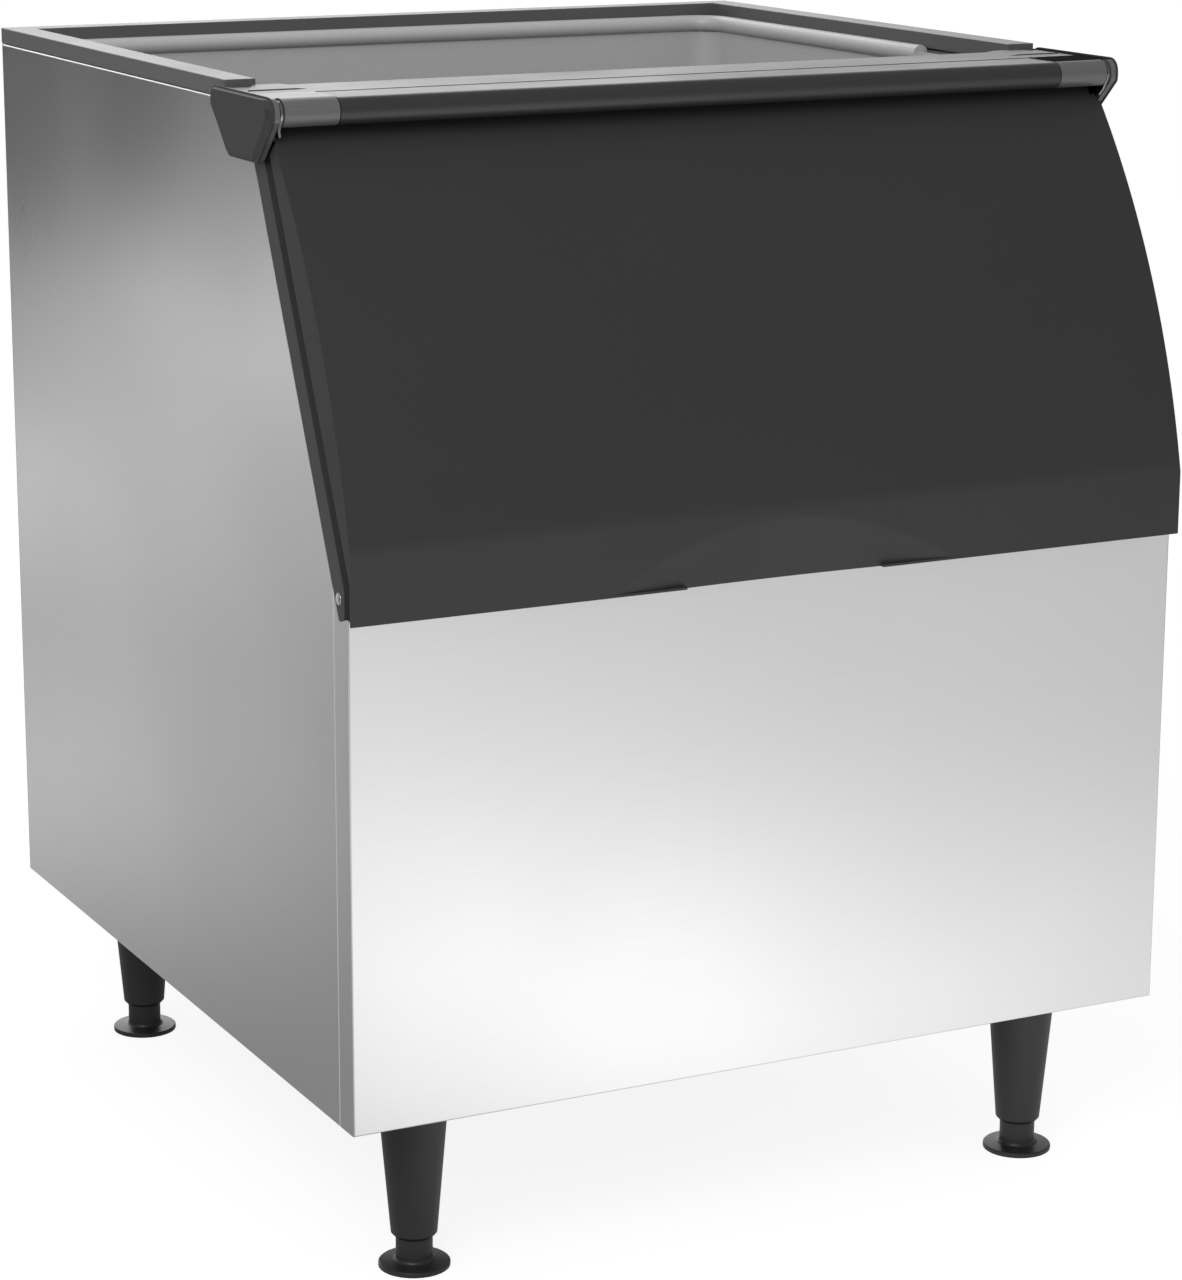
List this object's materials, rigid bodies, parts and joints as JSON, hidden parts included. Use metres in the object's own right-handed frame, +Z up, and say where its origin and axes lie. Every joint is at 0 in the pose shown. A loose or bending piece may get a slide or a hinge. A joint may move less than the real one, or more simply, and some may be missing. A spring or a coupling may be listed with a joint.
{
  "type": "ice storage bin",
  "caption": "Insulated stainless ice storage bin on levelling legs, with a top rail that carries an ice machine and a curved, top-hinged door over a sloped front opening",
  "frame": {"origin": "on the floor, under the middle of the bin's width and depth", "axes": "+Z up; the front with the door faces -Y; +X is to the right as seen from the front"},
  "size_m": [0.7856, 0.8032, 0.9641],
  "materials": {
    "satin_steel": "satin",
    "bright_steel": "satin",
    "galvanised": "matte",
    "black_plastic": "satin",
    "door_plastic": "satin",
    "rail_strip": "matte",
    "liner_plastic": "satin",
    "foam": "matte",
    "seal_rubber": "matte",
    "leg_black": "satin",
    "drain_plastic": "satin"
  },
  "bodies": {
    "cabinet": {"front_panel": "satin_steel", "side_panel_left": "satin_steel", "side_panel_right": "satin_steel", "back_panel": "galvanised", "base_pan": "galvanised", "liner": "liner_plastic", "insulation": "foam", "top_rail": "rail_strip", "door_frame": "black_plastic", "header": "black_plastic", "hinge_bracket_left": "bright_steel", "hinge_bracket_right": "bright_steel", "hinge_pin_left": "bright_steel", "hinge_pin_right": "bright_steel", "end_cap_left": "black_plastic", "end_cap_right": "black_plastic", "frame_screw_left": "bright_steel", "frame_screw_right": "bright_steel", "back_screw_left_lower": "bright_steel", "back_screw_left_upper": "bright_steel", "back_screw_right_lower": "bright_steel", "back_screw_right_upper": "bright_steel", "leg_front_left": "leg_black", "leg_front_right": "leg_black", "leg_rear_left": "leg_black", "leg_rear_right": "leg_black", "leg_plate_front_left": "galvanised", "leg_plate_front_right": "galvanised", "leg_plate_rear_left": "galvanised", "leg_plate_rear_right": "galvanised", "drain_tube": "drain_plastic", "drain_strainer": "bright_steel", "drain_nut": "drain_plastic"},
    "door": {"door_shell": "door_plastic", "door_inner_panel": "liner_plastic", "door_core": "foam", "door_seal": "seal_rubber", "door_arm_left": "bright_steel", "door_arm_right": "bright_steel", "hinge_bush_left": "black_plastic", "hinge_bush_right": "black_plastic", "arm_screw_left_lower": "bright_steel", "arm_screw_left_upper": "bright_steel", "arm_screw_right_lower": "bright_steel", "arm_screw_right_upper": "bright_steel"},
    "leveller_front_left": {"foot_front_left": "leg_black"},
    "leveller_front_right": {"foot_front_right": "leg_black"},
    "leveller_rear_left": {"foot_rear_left": "leg_black"},
    "leveller_rear_right": {"foot_rear_right": "leg_black"}
  },
  "joints": [
    {"name": "door_hinge", "type": "hinge", "parent": "cabinet", "child": "door", "pos_m": [0, -0.26744, 0.9472], "axis": [-1, 0, 0], "range_deg": [0, 160]},
    {"name": "level_front_left", "type": "slide", "parent": "cabinet", "child": "leveller_front_left", "axis": [0, 0, 1], "range_m": [-0.025, 0.011]},
    {"name": "level_front_right", "type": "slide", "parent": "cabinet", "child": "leveller_front_right", "axis": [0, 0, 1], "range_m": [-0.025, 0.011]},
    {"name": "level_rear_left", "type": "slide", "parent": "cabinet", "child": "leveller_rear_left", "axis": [0, 0, 1], "range_m": [-0.025, 0.011]},
    {"name": "level_rear_right", "type": "slide", "parent": "cabinet", "child": "leveller_rear_right", "axis": [0, 0, 1], "range_m": [-0.025, 0.011]}
  ]
}
